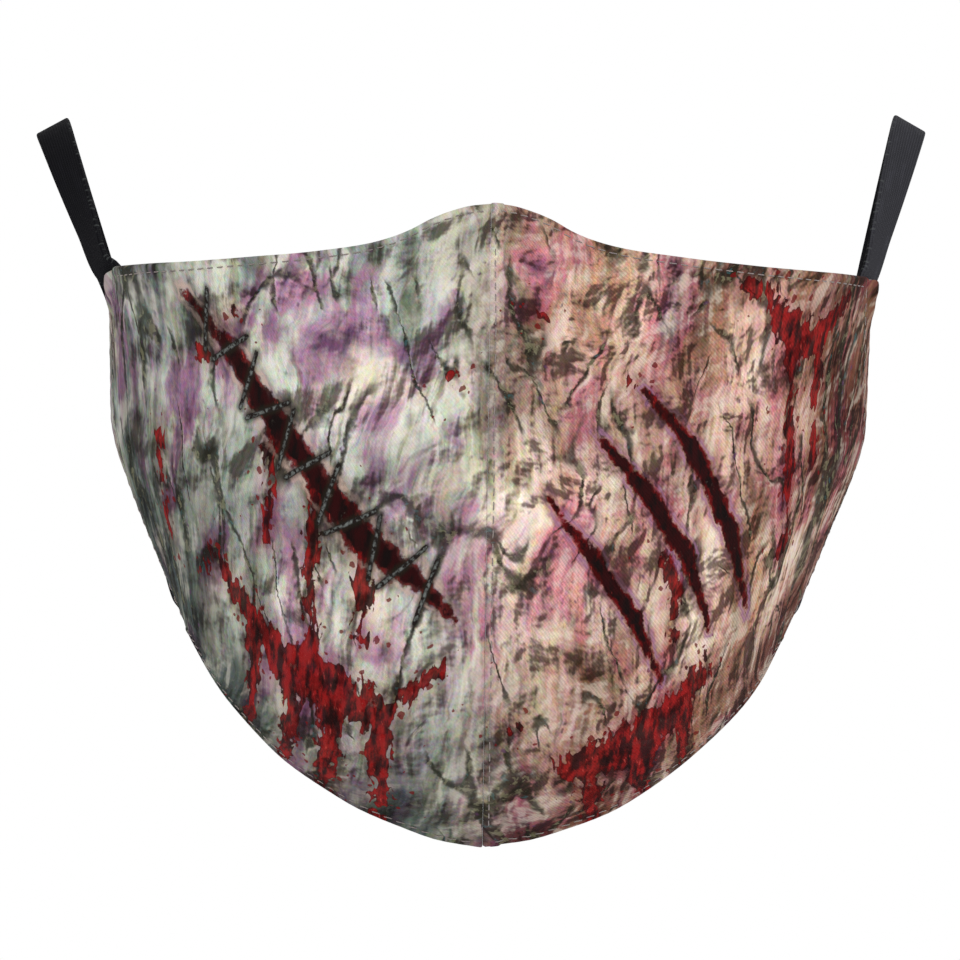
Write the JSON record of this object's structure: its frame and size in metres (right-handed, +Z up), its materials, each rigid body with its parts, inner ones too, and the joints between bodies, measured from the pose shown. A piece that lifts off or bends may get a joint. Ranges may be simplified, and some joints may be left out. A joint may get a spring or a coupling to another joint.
{
  "type": "cloth face mask",
  "caption": "Shaped face mask of printed cloth, with a centre seam, side sleeves and black elastic ear loops, held in its worn form",
  "frame": {"origin": "on the inner side of the cloth at the top of the centre seam, where the mask sits on the nose bridge", "axes": "+X to the right as seen from the front, -Y out of the front, +Z up as worn"},
  "size_m": [0.1724, 0.1477, 0.1425],
  "materials": {
    "printed_cloth": "fine twill polyester, printed on the outer side, plain off-white inside",
    "black_elastic": "soft black elastic band, matt"
  },
  "bodies": {
    "root": {"left_panel": "printed_cloth", "right_panel": "printed_cloth", "left_sleeve": "printed_cloth", "right_sleeve": "printed_cloth", "left_ear_loop": "black_elastic", "right_ear_loop": "black_elastic"}
  },
  "joints": []
}
